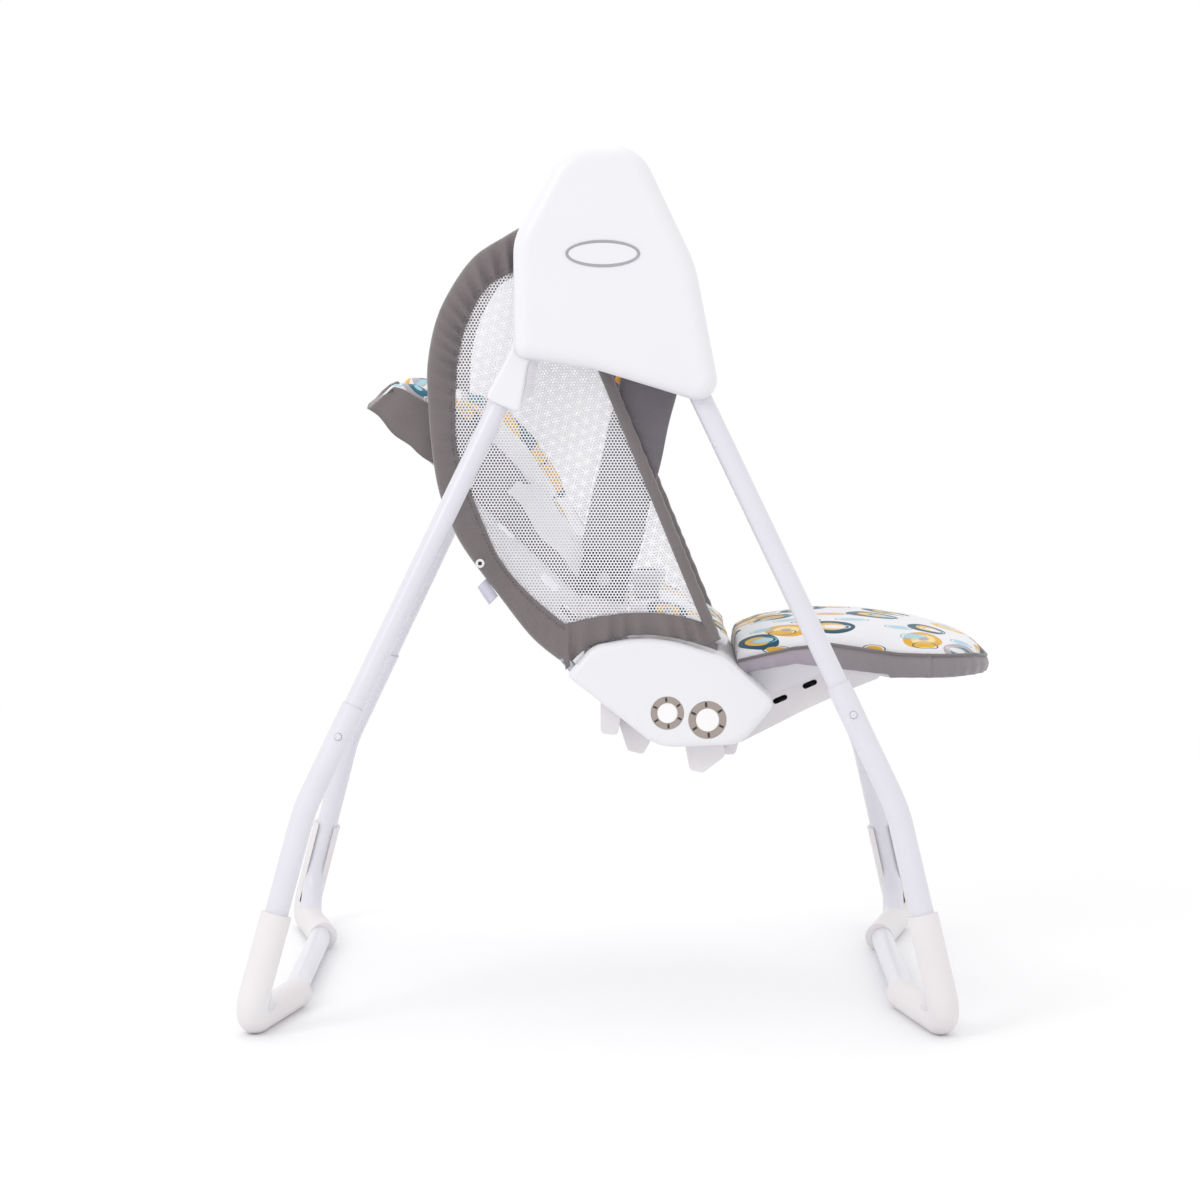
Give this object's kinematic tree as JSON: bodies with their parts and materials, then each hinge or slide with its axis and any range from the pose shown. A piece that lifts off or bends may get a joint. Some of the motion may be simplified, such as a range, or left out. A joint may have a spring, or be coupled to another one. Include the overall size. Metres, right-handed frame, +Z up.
{
  "type": "baby swing",
  "caption": "Free-standing baby swing: two A-shaped tube frames with hubs carry a reclined padded seat with mesh side wings, leg rest and toy bar.",
  "frame": {"origin": "on the floor, under the middle of the overall length and width", "axes": "+X to the foot end of the seat, +Z up, -Y is the seated child's right side"},
  "size_m": [0.7832, 0.6232, 0.884],
  "materials": {
    "white_shell": "satin moulded polypropylene, white",
    "white_trim": "moulded white plastic, slightly warm",
    "leg_paint": "powder-coated steel tube, cool white, semi-gloss",
    "cap_plastic": "moulded plastic foot cover, warm white",
    "bare_steel": "zinc-plated steel",
    "bearing": "acetal, natural",
    "motor_steel": "plated motor can",
    "gear_plastic": "acetal gear, natural",
    "grey_trim": "moulded plastic, blue-grey",
    "panel_grey": "dark grey control panel",
    "black_plastic": "black moulded plastic",
    "disc_cap": "beige-grey ring with a white middle",
    "grey_fabric": "woven polyester, dark warm grey",
    "mesh": "white knitted mesh",
    "print_fabric": "soft printed jersey with simple shapes in mustard, teal and grey",
    "webbing": "grey woven webbing",
    "toy_fabric": "plush, plain colours"
  },
  "bodies": {
    "frame": {"front_upper_legs": "leg_paint", "front_base_tube": "leg_paint", "front_foot_caps": "cap_plastic", "hub_outer_cover_right": "white_shell", "hub_outer_cover_left": "white_shell", "hub_inner_cover_right": "white_shell", "hub_inner_cover_left": "white_shell", "hub_screws": "bare_steel", "fold_pins": "bare_steel", "swing_bushes": "bearing", "motor": "motor_steel", "motor_bracket": "bare_steel", "control_panel": "panel_grey", "power_jack": "black_plastic", "hub_badge": "grey_trim"},
    "seat": {"swing_shafts": "bare_steel", "hanger_brackets": "bare_steel", "wing_rear_rods": "bare_steel", "wing_front_rods": "bare_steel", "side_wing_right": "mesh", "side_wing_left": "mesh", "seat_base_shell": "white_shell", "base_side_cover_right": "white_shell", "base_side_cover_left": "white_shell", "side_caps": "disc_cap", "back_hinge_pins": "bare_steel", "recline_handle_pin": "bare_steel", "base_feet": "white_trim", "front_arm": "white_trim", "front_arm_cover": "white_shell", "leg_rest_shell": "white_shell", "leg_rest_pad": "print_fabric", "seat_pad": "print_fabric", "lap_straps": "webbing", "buckle": "grey_trim", "toy_bar_sockets": "white_trim", "toy_bar_pins": "bare_steel"},
    "rear_legs": {"rear_upper_legs": "leg_paint", "rear_base_tube": "leg_paint", "rear_foot_caps": "cap_plastic", "rear_sockets": "white_trim"},
    "seat_back": {"back_shell": "white_trim", "back_pad": "print_fabric", "head_support": "print_fabric", "shoulder_straps": "webbing"},
    "toy_bar": {"toy_bar": "grey_fabric"},
    "recline_handle": {"recline_handle": "grey_trim"},
    "drive_gear": {"drive_gear": "gear_plastic"},
    "motor_pinion": {"motor_pinion": "gear_plastic"},
    "speed_dial": {"speed_dial": "white_trim"},
    "power_button": {"power_button": "white_trim"},
    "buckle_button": {"buckle_button": "black_plastic"},
    "toy_sun": {"toy_sun": "toy_fabric"},
    "toy_leaf": {"toy_leaf": "toy_fabric"},
    "toy_drop": {"toy_drop": "toy_fabric"},
    "front_snap_button_right": {"front_snap_button_right": "bare_steel"},
    "front_snap_button_left": {"front_snap_button_left": "bare_steel"},
    "rear_snap_button_right": {"rear_snap_button_right": "bare_steel"},
    "rear_snap_button_left": {"rear_snap_button_left": "bare_steel"}
  },
  "joints": [
    {"name": "seat_swing", "type": "hinge", "parent": "frame", "child": "seat", "pos_m": [-0.00538, 0, 0.8], "axis": [0, 1, 0], "range_deg": [-15, 15]},
    {"name": "leg_fold", "type": "hinge", "parent": "frame", "child": "rear_legs", "pos_m": [-0.09038, 0, 0.706], "axis": [0, -1, 0], "range_deg": [0, 45]},
    {"name": "back_recline", "type": "hinge", "parent": "seat", "child": "seat_back", "pos_m": [-0.02438, 0, 0.396], "axis": [0, 1, 0], "range_deg": [0, 12]},
    {"name": "toy_bar_turn", "type": "hinge", "parent": "seat", "child": "toy_bar", "pos_m": [-0.02738, 0, 0.445], "axis": [0, 1, 0], "range_deg": [0, 60]},
    {"name": "recline_squeeze", "type": "hinge", "parent": "seat", "child": "recline_handle", "pos_m": [-0.03438, 0, 0.342], "axis": [0, 1, 0], "range_deg": [0, 12], "stiffness_Nm_per_rad": 0.6, "springref_deg": -11.46},
    {"name": "gear_turn", "type": "hinge", "parent": "frame", "child": "drive_gear", "pos_m": [-0.05438, 0.194, 0.768], "axis": [0, 1, 0], "continuous": true},
    {"name": "pinion_turn", "type": "hinge", "parent": "frame", "child": "motor_pinion", "pos_m": [-0.05438, 0.194, 0.801], "axis": [0, 1, 0], "continuous": true},
    {"name": "dial_turn", "type": "hinge", "parent": "frame", "child": "speed_dial", "pos_m": [-0.01238, 0.24, 0.756], "axis": [0, 1, 0], "range_deg": [0, 240]},
    {"name": "power_press", "type": "slide", "parent": "frame", "child": "power_button", "axis": [0, -1, 0], "range_m": [0, 0.0015], "stiffness_N_per_m": 400, "springref_m": -0.001},
    {"name": "buckle_press", "type": "slide", "parent": "seat", "child": "buckle_button", "axis": [0, 0, -1], "range_m": [0, 0.002], "stiffness_N_per_m": 400, "springref_m": -0.001},
    {"name": "toy_sun_swing", "type": "hinge", "parent": "toy_bar", "child": "toy_sun", "pos_m": [0.01162, -0.062, 0.69382], "axis": [0, 1, 0], "range_deg": [-40, 40]},
    {"name": "toy_leaf_swing", "type": "hinge", "parent": "toy_bar", "child": "toy_leaf", "pos_m": [0.01162, 0, 0.69382], "axis": [0, 1, 0], "range_deg": [-40, 40]},
    {"name": "toy_drop_swing", "type": "hinge", "parent": "toy_bar", "child": "toy_drop", "pos_m": [0.01162, 0.062, 0.69382], "axis": [0, 1, 0], "range_deg": [-40, 40]},
    {"name": "front_snap_press_right", "type": "slide", "parent": "frame", "child": "front_snap_button_right", "axis": [0, 0.9889, -0.1483], "range_m": [0, 0.003], "stiffness_N_per_m": 400, "springref_m": -0.001},
    {"name": "front_snap_press_left", "type": "slide", "parent": "frame", "child": "front_snap_button_left", "axis": [0, -0.9889, -0.1483], "range_m": [0, 0.003], "stiffness_N_per_m": 400, "springref_m": -0.001},
    {"name": "rear_snap_press_right", "type": "slide", "parent": "rear_legs", "child": "rear_snap_button_right", "axis": [0, 0.9889, -0.1483], "range_m": [0, 0.003], "stiffness_N_per_m": 400, "springref_m": -0.001},
    {"name": "rear_snap_press_left", "type": "slide", "parent": "rear_legs", "child": "rear_snap_button_left", "axis": [0, -0.9889, -0.1483], "range_m": [0, 0.003], "stiffness_N_per_m": 400, "springref_m": -0.001}
  ],
  "couplings": [
    {"joint": "pinion_turn", "follows": "gear_turn", "ratio": -3.3333}
  ]
}
